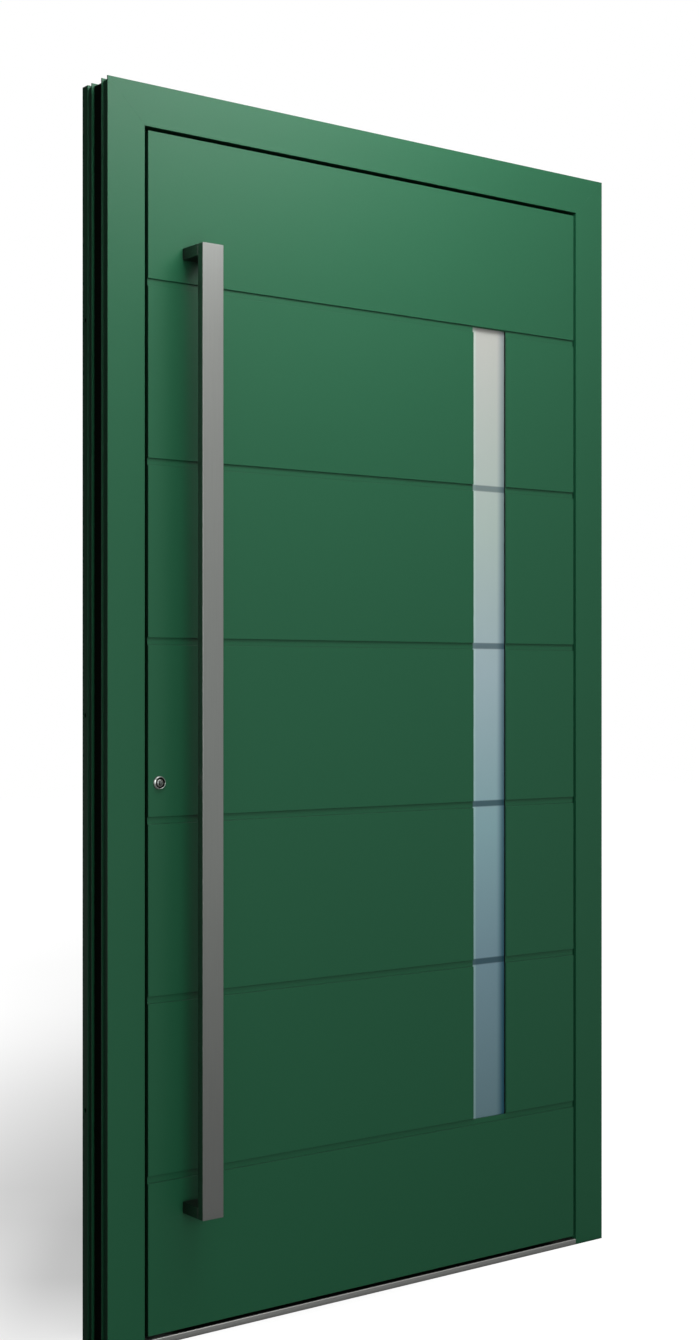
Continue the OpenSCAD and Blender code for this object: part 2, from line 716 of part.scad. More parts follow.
module inner_skin() placed() color(green) difference() {
    box([-lap_x, skin_v, lap_z], [lap_x, frame_d, lap_top]);
    ring_cut(skin_v - eps, frame_d + eps);
    studs_at() cylinder(h = 2 * reach, r = stud_r + run, center = true);
    cylinder_form(slot / 2, frame_d + eps);
    translate([cyl_x, skin_v - eps, lever_z]) rotate([-90, 0, 0])
        cylinder(h = inner_skin_t + 2 * eps, r = hub_r + run);
    plate_screws_at() cylinder(h = 2 * screw_l, r = screw_r + run, center = true);
    hinge_screws_at(-1) cylinder(h = 4 * screw_l, r = screw_r + run, center = true);
}

// Cut for the glass unit, clear of its edges
module ring_cut(y0, y1) {
    c = glass_lap + glass_edge_gap;
    box([glass_x0 - c, y0, glass_z0 - c], [glass_x1 + c, y1, glass_z1 + c]);
}

module foam_core() placed() color([0.85, 0.80, 0.62]) difference() {
    box([-stile_x, skin_t, rail_z], [stile_x, skin_v, rail_top]);
    ring_cut(skin_t - eps, skin_v + eps);
    studs_at() cylinder(h = 2 * reach, r = stud_r + run, center = true);
}

// ---- glass ----

module pane(y0, t) box([glass_x0 - glass_lap, y0, glass_z0 - glass_lap],
                       [glass_x1 + glass_lap, y0 + t, glass_z1 + glass_lap]);

module glass_frosted_pane() placed() color([0.75, 0.82, 0.82]) pane(glass_recess, pane_out_t);

module glass_clear_panes() placed() color([0.80, 0.88, 0.88]) for (i = [1, 2])
    pane(clear_v + i * spacer_t + (i - 1) * pane_in_t, pane_in_t);

module glass_spacers() placed() color(black) for (i = [0, 1])
    ring(chamfer, glass_lap - glass_edge_gap, clear_v + i * (spacer_t + pane_in_t),
         clear_v + i * (spacer_t + pane_in_t) + spacer_t);

module glass_seals() placed() color(black) {
    ring(chamfer, glass_lap - glass_edge_gap, skin_t, glass_recess);
    ring(chamfer, glass_lap - glass_edge_gap, pane_in_v, pane_in_v + seal_t);
}

module glazing_frame() placed() color(green) {
    ring(0, bead_t, pane_in_v + seal_t, frame_d + bead_t);
    ring(0, glass_lap - glass_edge_gap, pane_in_v + seal_t, pane_in_v + seal_t + bead_t);
    ring(0, bead_w, frame_d, frame_d + bead_t);
}

// ---- seals on the leaf ----

module brush_room() box([-frame_w / 2, lock_v - brush_w / 2 - fit, 0],
                        [frame_w / 2, lock_v + brush_w / 2 + fit, leaf_z + strip_in]);

module leaf_seals() placed() color(black) {
    for (m = [0, 1]) mirror([m, 0, 0]) upright(lap_z)
        translate([inner_w + fit, side_seal_v]) square([inner_gap - fit, side_seal_t]);
    header() translate([inner_w + fit, side_seal_v]) square([inner_gap - fit, side_seal_t]);
    box([-frame_w / 2 + web_u + lap_t + fit, lock_v - brush_w / 2, sill_low + fit],
        [frame_w / 2 - web_u - lap_t - fit, lock_v + brush_w / 2, leaf_z + strip_in]);
}

// ---- pull bar ----

module pull_bar() placed() color(steel)
    box([bar_x, -bar_proj, bar_z], [bar_x + bar_w, bar_t - bar_proj, bar_z + bar_l]);

module leg(z) difference() {
    box([bar_x, bar_t - bar_proj, z - leg_h / 2], [bar_x + bar_w, 0, z + leg_h / 2]);
    translate([bar_x + bar_w / 2, -stud_grip - eps, z]) rotate([-90, 0, 0])
        cylinder(h = stud_grip + 2 * eps, r = stud_r + run);
}

module pull_bar_leg_top() placed() color(steel) leg(leg_zs[1]);
module pull_bar_leg_bottom() placed() color(steel) leg(leg_zs[0]);

// Places its children on the two studs' axes, level with the inside face
module studs_at() for (z = leg_zs) translate([bar_x + bar_w / 2, frame_d, z]) rotate([-90, 0, 0]) children();

module pull_bar_studs() placed() color(steel) studs_at() {
    translate([0, 0, -frame_d - stud_grip]) cylinder(h = frame_d + stud_grip, r = stud_r);
    cylinder(h = stud_head_t, r1 = stud_head_r, r2 = stud_head_r - 2 * chamfer);
}

// ---- lock ----

// The profile cylinder's outline, grown by c, from the skin to depth y1
module cylinder_form(c, y1) {
    translate([cyl_x, skin_t + fit - c, cyl_z]) rotate([-90, 0, 0])
        cylinder(h = y1 - skin_t - fit + c, r = cyl_r + c);
    box([cyl_x - cyl_tail_w / 2 - c, skin_t + fit - c, cyl_z - cyl_tail - c],
        [cyl_x + cyl_tail_w / 2 + c, y1, cyl_z]);
}

module cylinder_collar() placed() color(steel) translate([cyl_x, 0, cyl_z]) rotate([90, 0, 0])
    rotate_extrude() polygon([
        [cyl_r + fit, 0], [collar_r, 0], [collar_r, collar_t - 2 * chamfer],
        [collar_r - chamfer, collar_t], [cyl_r + fit + chamfer, collar_t], [cyl_r + fit, collar_t - chamfer]
    ]);

module cylinder_body() placed() color(silver) difference() {
    union() {
        cylinder_form(0, frame_d + plate_t + chamfer);
        translate([cyl_x, 0, cyl_z]) rotate([-90, 0, 0]) cylinder(h = skin_t + slot, r = cyl_r);
    }
    translate([cyl_x, -eps, cyl_z]) rotate([-90, 0, 0])
        cylinder(h = 2 * frame_d, r = plug_r + run);
    box([cyl_x - 2 * cyl_r, lock_v - cam_t / 2 - eps, cyl_z - cam_room],
        [cyl_x + 2 * cyl_r, lock_v + cam_t / 2 + eps, cyl_z + cam_room]);
    translate([cyl_x, lock_v, cyl_screw_z]) rotate([0, 90, 0])
        cylinder(h = 4 * cyl_r, r = screw_r + run, center = true);
}

module cylinder_plug() placed() color(silver) difference() {
    union() {
        translate([cyl_x, -plug_out, cyl_z]) rotate([-90, 0, 0]) cylinder(h = turn_step + plug_out, r = plug_r);
        box([cyl_x - cam_w / 2, lock_v - cam_t / 2, cyl_z - cam_r], [cyl_x + cam_w / 2, turn_step, cyl_z]);
    }
    box([cyl_x - key_slot[0] / 2, -plug_out - eps, cyl_z - key_slot[1] / 2],
        [cyl_x + key_slot[0] / 2, key_slot[2], cyl_z + key_slot[1] / 2]);
}

module thumbturn() placed() color(steel) {
    y0 = frame_d + plate_t + chamfer + 2 * fit;
    translate([cyl_x, turn_step, cyl_z]) rotate([-90, 0, 0]) cylinder(h = y0 - turn_step + eps, r = plug_r);
    translate([cyl_x, y0, cyl_z]) rotate([-90, 0, 0])
        cylinder(h = turn_base_t, r1 = turn_base_r, r2 = turn_base_r - chamfer);
    box([cyl_x - turn_t / 2, y0 + chamfer, cyl_z - turn_w / 2], [cyl_x + turn_t / 2, y0 + turn_out, cyl_z + turn_w / 2]);
}

// Places its children at the faceplate's screws, pointing out of the leaf's edge
module face_screws_at() for (z = face_screws)
    translate([-frame_w / 2 + lap_u, lock_v, z]) rotate([0, -90, 0]) children();

module lock_faceplate() placed() color(steel) difference() {
    box([-lap_x, lock_v - face_w / 2, face_z], [-lap_x + face_t, lock_v + face_w / 2, face_z + face_l]);
    for (h = [[dead_z, dead_h], [lever_z, latch_h]])
        box([-lap_x - eps, lock_v - bolt_t / 2 - run, h[0] - h[1] / 2 - run],
            [-lap_x + face_t + eps, lock_v + bolt_t / 2 + run, h[0] + h[1] / 2 + run]);
    for (z = [bolt_low, bolt_high]) translate([-lap_x - eps, lock_v, z]) rotate([0, 90, 0])
        cylinder(h = face_t + 2 * eps, r = pin_bolt_r + run);
    translate([-lap_x - eps, lock_v, cyl_screw_z]) rotate([0, 90, 0])
        cylinder(h = face_t + 2 * eps, r = screw_r + run);
    face_screws_at() screw_hole();
}

// Sheet-metal case behind the faceplate, open towards it
module bolt_case(zs, u1) difference() {
    box([-frame_w / 2 + web_u, lock_v - case_t / 2, zs[0]],
        [-frame_w / 2 + u1, lock_v + case_t / 2, zs[1]]);
    box([-frame_w / 2 + web_u - eps, lock_v - case_t / 2 + case_wall, zs[0] + case_wall],
        [-frame_w / 2 + u1 - case_wall, lock_v + case_t / 2 - case_wall, zs[1] - case_wall]);
}

module lock_case() placed() color(zinc) difference() {
    bolt_case(case_z, case_u1);
    cylinder_form(fit, frame_d);
    translate([cyl_x, lock_v, lever_z]) rotate([90, 0, 0])
        cylinder(h = 2 * case_t, r = square, center = true);
}

module pin_bolt_cases() placed() color(zinc) for (z = [bolt_low, bolt_high])
    bolt_case([z - pin_case_h / 2, z + pin_case_h / 2], pin_case_u1);

module latch_bolt() placed() color(silver) translate([-lap_x, lock_v, lever_z - latch_h / 2])
    linear_extrude(latch_h) polygon([
        [-latch_out, bolt_t / 2], [-latch_out, bolt_t / 2 - bolt_tip], [-slot, -bolt_t / 2],
        [latch_in, -bolt_t / 2], [latch_in, bolt_t / 2]
    ]);

module deadbolt() placed() color(silver)
    box([-lap_x, lock_v - bolt_t / 2, dead_z - dead_h / 2],
        [-lap_x + bolt_body, lock_v + bolt_t / 2, dead_z + dead_h / 2]);

module pin_bolts() placed() color(silver) for (z = [bolt_low, bolt_high])
    translate([-lap_x, lock_v, z]) rotate([0, 90, 0]) {
        cylinder(h = bolt_tip, r1 = pin_bolt_r - bolt_tip / 2, r2 = pin_bolt_r);
        translate([0, 0, bolt_tip]) cylinder(h = pin_case_u1 - web_u - 3 * bolt_tip, r = pin_bolt_r);
    }

// Flat rods that drive the extra bolts; both move up together
module drive_rods() placed() color(zinc) {
    x0 = -lap_x + face_t + fit;
    for (zs = [[bolt_low + pin_bolt_r, cyl_screw_z - screw_r], [lever_z + latch_h / 2, bolt_high - pin_bolt_r]])
        box([x0, lock_v - rod_w / 2, zs[0] + rod_gap],
            [x0 + rod_t, lock_v + rod_w / 2, zs[1] - bolt_throw - rod_gap]);
}

// ---- inside handle ----

// Places its children at the two screws of the handle plate, pointing out of it
module plate_screws_at() for (z = [cyl_z - plate_screw, lever_z + plate_screw])
    translate([cyl_x, frame_d + plate_t, z]) rotate([-90, 0, 0]) children();

module handle_plate() placed() color(steel) difference() {
    box([cyl_x - plate_w / 2, frame_d, cyl_z - plate_end],
        [cyl_x + plate_w / 2, frame_d + plate_t, lever_z + plate_end]);
    cylinder_form(fit, frame_d + plate_t + eps);
    translate([cyl_x, frame_d - eps, lever_z]) rotate([-90, 0, 0])
        cylinder(h = plate_t + 2 * eps, r = hub_r + run);
    plate_screws_at() screw_hole();
}

module lever_handle() placed() color(steel) translate([cyl_x, frame_d, lever_z]) difference() {
    union() {
        rotate([-90, 0, 0]) cylinder(h = plate_t + grip_room + grip_t / 2, r = hub_r);
        translate([0, plate_t + grip_room, 0]) {
            rotate([-90, 0, 0]) cylinder(h = grip_t, r = grip_h / 2);
            box([0, 0, -grip_h / 2], [grip_l - grip_h, grip_t, grip_h / 2]);
            translate([grip_l - grip_h, 0, 0]) rotate([-90, 0, 0]) cylinder(h = grip_t, r = grip_h / 2);
        }
    }
    box([-square / 2 - run, -eps, -square / 2 - run],
        [square / 2 + run, plate_t + grip_room * spindle_in + run, square / 2 + run]);
}

module lever_spindle() placed() color(zinc) {
    y0 = lock_v - follower_t / 2;
    box([cyl_x - square / 2, y0, lever_z - square / 2],
        [cyl_x + square / 2, frame_d + plate_t + grip_room * spindle_in, lever_z + square / 2]);
    difference() {
        translate([cyl_x, y0, lever_z]) rotate([-90, 0, 0]) cylinder(h = follower_t, r = follower_r);
        box([cyl_x - square / 2 - run, y0 - eps, lever_z - square / 2 - run],
            [cyl_x + square / 2 + run, y0 + follower_t + eps, lever_z + square / 2 + run]);
    }
}

module leaf_screws() placed() color(zinc) {
    face_screws_at() screw();
    hinge_screws_at(-1) screw();
    plate_screws_at() screw();
    translate([-lap_x, lock_v, cyl_screw_z]) rotate([0, 90, 0])
        cylinder(h = cyl_x + lap_x + cyl_tail_w / 4, r = screw_r);
}

jamb_left_outer();
jamb_left_inner();
jamb_left_breaks();
jamb_right_outer();
jamb_right_inner();
jamb_right_breaks();
head_outer();
head_inner();
head_breaks();
frame_cleats();
frame_gasket();
threshold();
threshold_base();
threshold_end_blocks();
strike_main();
strikes_pin();
frame_screws();
hinge_frame_wings();
hinge_pins();
stile_lock_outer();
stile_lock_inner();
stile_hinge_outer();
stile_hinge_inner();
rail_top_outer();
rail_top_inner();
rail_bottom_outer();
rail_bottom_inner();
leaf_breaks();
leaf_cleats();
outer_skin();
inner_skin();
foam_core();
glass_frosted_pane();
glass_clear_panes();
glass_spacers();
glass_seals();
glazing_frame();
leaf_seals();
pull_bar();
pull_bar_leg_top();
pull_bar_leg_bottom();
pull_bar_studs();
cylinder_collar();
cylinder_body();
lock_faceplate();
lock_case();
pin_bolt_cases();
handle_plate();
hinge_leaf_wings();
hinge_bushes();
leaf_screws();
lever_handle();
lever_spindle();
latch_bolt();
deadbolt();
pin_bolts();
cylinder_plug();
thumbturn();
drive_rods();
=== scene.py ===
import math

import bmesh
import bpy
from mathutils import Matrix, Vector


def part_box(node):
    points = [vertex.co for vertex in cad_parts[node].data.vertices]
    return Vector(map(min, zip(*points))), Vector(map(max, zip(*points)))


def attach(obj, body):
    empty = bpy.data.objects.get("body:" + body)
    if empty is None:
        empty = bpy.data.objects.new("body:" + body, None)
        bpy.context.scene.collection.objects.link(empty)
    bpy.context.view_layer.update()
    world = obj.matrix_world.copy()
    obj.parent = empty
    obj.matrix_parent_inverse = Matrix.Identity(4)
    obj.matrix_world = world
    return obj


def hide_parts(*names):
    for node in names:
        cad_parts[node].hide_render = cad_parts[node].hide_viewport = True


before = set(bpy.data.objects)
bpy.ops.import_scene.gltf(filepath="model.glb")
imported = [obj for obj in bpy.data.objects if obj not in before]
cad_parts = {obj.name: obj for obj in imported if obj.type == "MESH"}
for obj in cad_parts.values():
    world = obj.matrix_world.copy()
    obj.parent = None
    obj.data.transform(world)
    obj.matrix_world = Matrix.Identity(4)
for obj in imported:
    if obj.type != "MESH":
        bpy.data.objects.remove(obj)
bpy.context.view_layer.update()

scene = bpy.context.scene
scene.view_settings.view_transform = "Standard"

# ---- Camera ----
# Stands to the left of the door, at chest height, and looks across its outside face. It is held
# level, so the door's upright edges stay upright.
camera = bpy.data.objects.new("camera", bpy.data.cameras.new("camera"))
scene.collection.objects.link(camera)
scene.camera = camera
camera.location = (-2.180, -2.8542, 1.1282)
camera.rotation_euler = (math.radians(90), 0, math.radians(-36.92))
camera.data.lens = 51.46
camera.data.sensor_width = 36
camera.data.shift_y = 0.0107
camera.data.clip_start, camera.data.clip_end = 0.05, 60


# ---- Light ----
# Two soft boxes hang close above the door's front, and only the key shows as a glow in the coat. A
# low one fills the front, a tall panel on the left is seen in gloss alone, a weak one lifts the
# right jamb, and the last one lights the inside of the door.
def soft_box(name, place, target, size, power, glow=True, wash=True):
    """With glow the lamp shows in gloss, and with wash it lights the colour."""
    lamp = bpy.data.objects.new(name, bpy.data.lights.new(name, "AREA"))
    scene.collection.objects.link(lamp)
    lamp.data.shape = "RECTANGLE"
    lamp.data.size, lamp.data.size_y = size
    lamp.data.energy = power
    lamp.location = place
    lamp.rotation_euler = (Vector(target) - Vector(place)).to_track_quat("-Z", "Y").to_euler()
    lamp.visible_camera = False
    lamp.visible_glossy, lamp.visible_diffuse = glow, wash


soft_box("key", place=(-0.02, -1.1, 2.85), target=(0, 0, 1.5), size=(1.9, 1.0), power=14.2)
soft_box("wash", place=(-0.17, -0.725, 2.65), target=(-0.17, 0, 1.6), size=(1.15, 0.5), power=17.3,
         glow=False)
soft_box("front_fill", place=(-0.95, -3.0, 0.77), target=(-0.55, 0, 0.77), size=(1.8, 1.8), power=42,
         glow=False)
soft_box("left_panel", place=(-3.0, -2.1, 1.9), target=(-0.5, 0, 1.1), size=(1.3, 2.4), power=22,
         wash=False)
soft_box("right_fill", place=(3.0, -1.3, 0.52), target=(-0.2, 0, 0.52), size=(1.8, 1.0), power=3,
         glow=False)
soft_box("inside_fill", place=(0.6, 3.0, 2.6), target=(0, 0, 1.2), size=(2.0, 2.0), power=60,
         glow=False)


# ---- Room ----
# The studio is light above and in front on the right, and dim near the floor and far to the right.
# The camera sees white all round, and the white paper behind the door shows in glass and metal too.
class Shade:
    """A node's socket that adds, subtracts and multiplies as a plain number does."""

    def __init__(self, tree, socket):
        self.tree, self.socket = tree, socket

    def math(self, operation, other=0.0, swap=False):
        node = self.tree.nodes.new("ShaderNodeMath")
        node.operation = operation
        for target, value in zip(node.inputs, (other, self) if swap else (self, other)):
            plug(self.tree, target, value)
        return Shade(self.tree, node.outputs[0])

    def __add__(self, other): return self.math("ADD", other)
    def __radd__(self, other): return self.math("ADD", other)
    def __sub__(self, other): return self.math("SUBTRACT", other)
    def __rsub__(self, other): return self.math("SUBTRACT", other, True)
    def __mul__(self, other): return self.math("MULTIPLY", other)
    def __rmul__(self, other): return self.math("MULTIPLY", other)
    def __truediv__(self, other): return self.math("DIVIDE", other)
    def __gt__(self, other): return self.math("GREATER_THAN", other)
    def __lt__(self, other): return self.math("LESS_THAN", other)


def plug(tree, target, value):
    if isinstance(value, Shade):
        tree.links.new(value.socket, target)
    else:
        target.default_value = value


class Nodes:
    """The nodes of the room or of one finish. All of them but the sums above come from node()."""

    def __init__(self, tree):
        self.tree = tree

    def node(self, kind, settings, sockets, out=0):
        made = self.tree.nodes.new("ShaderNode" + kind)
        for setting, value in settings.items():
            if setting == "stops":
                for k, (place, colour) in enumerate(value):
                    ramp = made.color_ramp.elements
                    stop = ramp[k] if k < 2 else ramp.new(place)
                    stop.position, stop.color = place, (*colour, 1)
            else:
                setattr(made, setting, value)
        for socket, value in sockets.items():
            plug(self.tree, made.inputs[socket], value)
        return Shade(self.tree, made.outputs[out])

    def axis(self, vector, letter):
        return self.node("SeparateXYZ", {}, {0: vector}, letter)

    def along(self, vector, way):
        return self.node("VectorMath", {"operation": "DOT_PRODUCT"}, {0: vector, 1: way}, "Value")

    def eased(self, value, start, end, low=0.0, high=1.0, curve="SMOOTHSTEP"):
        return self.node("MapRange", {"interpolation_type": curve},
                         {0: value, 1: start, 2: end, 3: low, 4: high})

    def ramp(self, value, stops):
        return self.node("ValToRGB", {"stops": stops}, {0: value})

    def mix(self, share, a, b, kind="MIX"):
        return self.node("Mix", {"data_type": "RGBA", "blend_type": kind}, {0: share, 6: a, 7: b}, 2)


def tone(*rgb):
    return (*rgb, 1.0)


world = bpy.data.worlds.new("room")
scene.world = world
world.use_nodes = True
room = Nodes(world.node_tree)
toward = room.node("TexCoord", {}, {}, "Generated")
height = room.axis(toward, "Z")
front_right = room.along(toward, (0.6, -0.8, 0.0))
behind = room.along(toward, (0.6, 0.8, 0.0))
floor_to_ceiling = height * 0.5 + 0.5
glow = room.ramp(floor_to_ceiling, (
    (0.0, (0.10, 0.11, 0.12)), (0.33, (0.12, 0.13, 0.13)), (0.40, (0.105, 0.115, 0.12)),
    (0.46, (0.155, 0.175, 0.18)), (0.505, (0.35, 0.365, 0.36)), (0.535, (0.41, 0.42, 0.41)),
    (0.62, (0.47, 0.47, 0.46)), (1.0, (0.50, 0.50, 0.49))))
far_right = room.eased(room.axis(toward, "X"), 0.42, 0.85)
low_down = room.eased(height, 0.03, 0.28, 0.97, 0.1)
side = (front_right * 0.475 + 0.525) * (1.0 - far_right * low_down)
glow = room.mix(1.0, glow, room.node("CombineColor", {}, {0: side, 1: side, 2: side}), "MULTIPLY")
by_camera, by_gloss, through = (room.node("LightPath", {}, {}, kind) for kind in (
    "Is Camera Ray", "Is Glossy Ray", "Is Transmission Ray"))
paper = room.eased(behind, 0.75, 0.92)
backdrop = room.mix(by_camera + through + by_gloss * paper, glow, tone(1, 1, 1))
plug(room.tree, room.tree.nodes["Background"].inputs["Color"], backdrop)


# ---- Floor ----
# A plain studio floor, level with the threshold's underside, that fades into the white backdrop.
# It keeps the door's shadow, and a soft shadow is painted on it behind the door.
class Finish(Nodes):
    """One material. Its sockets take plain values or shades that change over the surface."""

    def __init__(self, name, **sockets):
        self.material = bpy.data.materials.new(name)
        self.material.use_nodes = True
        super().__init__(self.material.node_tree)
        self.surface = self.tree.nodes["Principled BSDF"]
        self.feed(**sockets)

    def feed(self, **sockets):
        for socket, value in sockets.items():
            label = socket.replace("_", " ").title().replace("Ior", "IOR")
            plug(self.tree, self.surface.inputs[label], value)

    def place(self, stretch=(1, 1, 1)):
        where = self.node("TexCoord", {}, {}, "Object")
        return self.node("VectorMath", {"operation": "MULTIPLY"}, {0: where, 1: stretch})

    def grain(self, scale, detail=2.0, stretch=(1, 1, 1)):
        return self.node("TexNoise", {}, {"Vector": self.place(stretch), "Scale": scale, "Detail": detail})

    def relief(self, height, distance, **under):
        sockets = {"Height": height, "Distance": distance, "Strength": 1.0}
        return self.node("Bump", {}, {**sockets, **{name.title(): value for name, value in under.items()}})


half_floor, below_door = 14.0, 0.0005
floor_mesh = bpy.data.meshes.new("floor")
floor_mesh.from_pydata([(-half_floor, -half_floor, 0), (half_floor, -half_floor, 0),
                        (half_floor, half_floor, 0), (-half_floor, half_floor, 0)], [], [(0, 1, 2, 3)])
floor = bpy.data.objects.new("floor", floor_mesh)
scene.collection.objects.link(floor)
floor.location.z = -below_door
pale = Finish("pale_floor", roughness=0.9, base_color=tone(0.06, 0.06, 0.06), emission_strength=1.0)
here = pale.place()
back = pale.along(here, (0.6007, 0.7995, 0))
aside = pale.along(here, (0.7995, -0.6007, 0))
away = pale.eased(pale.node("VectorMath", {"operation": "LENGTH"}, {0: here}, "Value"), 0.6, 8.0)
behind_door = pale.eased(pale.axis(here, "Y"), -0.12, 0.12)

# The painted shadow behind the door: its depth runs from 1 m before the door to 9 m behind it.
depth_shade = pale.ramp((back + 1.0) * 0.1, [(place, (shade,) * 3) for place, shade in (
    (0.0, 0.0), (0.07, 0.20), (0.104, 0.42), (0.144, 0.47), (0.195, 0.44), (0.261, 0.385), (0.30, 0.335),
    (0.348, 0.26), (0.404, 0.19), (0.471, 0.135), (0.553, 0.095), (0.656, 0.05), (0.79, 0.02), (1.0, 0.0))])
near_side = pale.eased(aside, -1.7, -0.3)
far_side = pale.eased(aside, 0.5, -0.2)
close = pale.eased(back, 0.7, 0.0, 0.0, 0.32, "LINEAR")
left_out = pale.eased(aside, -0.58, -0.75)
painted_shadow = depth_shade * near_side * far_side * behind_door * (1.0 - close * left_out) * 1.3

# The camera sees lit paper with the painted shadow; light that bounces sees a duller sheet that glows a
# little far away.
paper_white = pale.mix(away, tone(0.97, 0.97, 0.97), tone(1.0, 1.0, 1.0))
white = pale.node("Emission", {}, {"Color": pale.mix(painted_shadow, paper_white, tone(0.0, 0.0, 0.0))})
sheet = pale.node("BsdfDiffuse", {}, {"Color": tone(0.12, 0.12, 0.12)})
near_glow = pale.mix(behind_door, tone(0.05, 0.05, 0.05), tone(0, 0, 0))
pale.feed(emission_color=pale.mix(away, near_glow, tone(0.22, 0.23, 0.22)))
dull = Shade(pale.tree, pale.surface.outputs[0])
seen = pale.node("LightPath", {}, {}, "Is Camera Ray")
pick = pale.node("MixShader", {}, {0: seen, 1: dull, 2: pale.node("AddShader", {}, {0: white, 1: sheet})})
plug(pale.tree, pale.tree.nodes["Material Output"].inputs["Surface"], pick)
floor_mesh.materials.append(pale.material)


# ---- Powder-coated profiles of the frame ----
# Extruded aluminium shells in a satin green powder coat, mitred and cleated in the upper corners.
# The coat has a fine orange peel, and painted shade darkens it in gaps, grooves and recesses.
def dress(nodes, finish):
    for name in nodes.split():
        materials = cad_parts[name].data.materials
        materials.clear()
        materials.append(finish.material)


# Share of a surface left out of painted shade: ambient occlusion eased from low to high, 0 where enclosed.
def unshaded_share(finish, reach, low, high):
    sky = finish.node("AmbientOcclusion", {"samples": 8}, {"Distance": reach}, "AO")
    return finish.eased(sky, low, high)


def soft_edge(finish, radius=0.0007):
    return finish.node("Bevel", {"samples": 4}, {"Radius": radius})


green_coat = Finish("green_powder_coat", specular_ior_level=0.5)
painted_shade_green = tone(0.0012, 0.012, 0.0045)
cloud = green_coat.grain(2.2, 3.0)
coat = green_coat.mix(cloud, tone(0.0104, 0.086, 0.0385), tone(0.0112, 0.091, 0.0410))
speck = green_coat.grain(900.0, 0.0) > 0.72
coat = green_coat.mix(speck * 0.10, coat, tone(0.030, 0.130, 0.075))
faces_left = green_coat.axis(green_coat.node("NewGeometry", {}, {}, "Normal"), "X") < -0.7
across = green_coat.axis(green_coat.place(), "X")
on_hinge_side, on_lock_side = across > 0.4, across < -0.5
# Painted shade: dark green where ambient occlusion finds gaps, grooves and recesses, except on the hinge
# side's left-facing faces; the lock side's left-facing faces are painted half way to it.
unshaded = unshaded_share(green_coat, 0.014, 0.18, 0.83).math("MAXIMUM", faces_left * on_hinge_side)
coat = green_coat.mix(faces_left * on_lock_side * 0.5, coat, painted_shade_green)
green_coat.feed(base_color=green_coat.mix(unshaded, painted_shade_green, coat),
                roughness=0.37 + 0.06 * green_coat.grain(9.0, 4.0),
                normal=green_coat.relief(green_coat.grain(650.0, 1.0), 0.00006, normal=soft_edge(green_coat)))
dress("jamb_left_outer jamb_left_inner jamb_right_outer jamb_right_inner head_outer head_inner", green_coat)

# ---- Polyamide bars and threshold base ----
# Glass-filled black polyamide: the bars that join the outer and inner shells, the base under the
# threshold and the spacers between the panes. It is dull, with a faint drawn grain along its length.
black_plastic = Finish("black_polyamide", specular_ior_level=0.06)
drawn = black_plastic.grain(260.0, 2.0, (1, 1, 0.02))
black_plastic.feed(
    base_color=black_plastic.mix(drawn, tone(0.0006, 0.0020, 0.0008), tone(0.0012, 0.0034, 0.0014)),
    roughness=0.70 + 0.15 * drawn,
    normal=black_plastic.relief(drawn, 0.00008))
dress("jamb_left_breaks jamb_right_breaks head_breaks leaf_breaks threshold_base threshold_end_blocks "
      "hinge_bushes glass_spacers", black_plastic)

# ---- Rubber seals ----
# Black EPDM lips: one in the frame that the leaf closes on, one round the leaf's edge, and those
# that hold the panes. Rubber is matt, with a little bloom.
rubber = Finish("black_rubber", specular_ior_level=0.3)
bloom = rubber.grain(38.0, 4.0)
rubber.feed(base_color=rubber.mix(bloom, tone(0.0075, 0.0075, 0.008), tone(0.014, 0.014, 0.015)),
            roughness=0.62 + 0.22 * bloom,
            normal=rubber.relief(rubber.grain(420.0, 2.0), 0.00012))
dress("frame_gasket leaf_seals glass_seals", rubber)

# ---- Threshold and hinge wings ----
# Anodised aluminium: the extruded threshold across the opening, and the wings of the three hinges.
# The extrusion's lines run along X, its tone varies a little at random, and painted shade darkens its
# corners.
aluminium = Finish("anodised_aluminium", metallic=0.85)
lines = aluminium.grain(420.0, 3.0, (0.012, 1, 1))
grime = aluminium.grain(34.0, 5.0, (0.4, 1, 1))
anodised = aluminium.mix(grime, tone(0.64, 0.645, 0.63), tone(0.76, 0.77, 0.75))
# Painted shade: near black where ambient occlusion finds the surface enclosed.
aluminium.feed(base_color=aluminium.mix(unshaded_share(aluminium, 0.02, 0.25, 0.75),
                                        tone(0.012, 0.014, 0.012), anodised),
               roughness=0.34 + 0.12 * lines,
               normal=aluminium.relief(lines, 0.00012, normal=soft_edge(aluminium)))
dress("threshold hinge_frame_wings hinge_leaf_wings", aluminium)

# ---- Corner cleats ----
# Die-cast aluminium angles pressed into the profiles' chambers, with a grey, slightly pitted skin.
# Screws through the shells hold them in the mitres.
cast = Finish("die_cast_aluminium", metallic=1.0)
pits = cast.grain(300.0, 4.0)
cast.feed(base_color=cast.mix(pits, tone(0.42, 0.42, 0.43), tone(0.60, 0.60, 0.61)),
          roughness=0.48 + 0.2 * pits,
          normal=cast.relief(pits, 0.00015))
dress("frame_cleats leaf_cleats", cast)


# ---- Leaf ----
# A grooved outer skin, a plain inner skin and four profiles with a foam core between them, all in
# the frame's green. The skin's edges and grooves are broken by the sander before coating.
def ease(nodes, radius, steps=2):
    for name in nodes.split():
        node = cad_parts[name]
        weld = node.modifiers.new("weld", "WELD")
        weld.merge_threshold = 1e-5
        flat = node.modifiers.new("flat", "DECIMATE")
        flat.decimate_type = "DISSOLVE"
        flat.angle_limit = math.radians(0.5)
        edge = node.modifiers.new("edge", "BEVEL")
        edge.width, edge.segments = radius, steps
        edge.limit_method, edge.angle_limit = "ANGLE", math.radians(35)
        edge.use_clamp_overlap = True
        edge.harden_normals = True


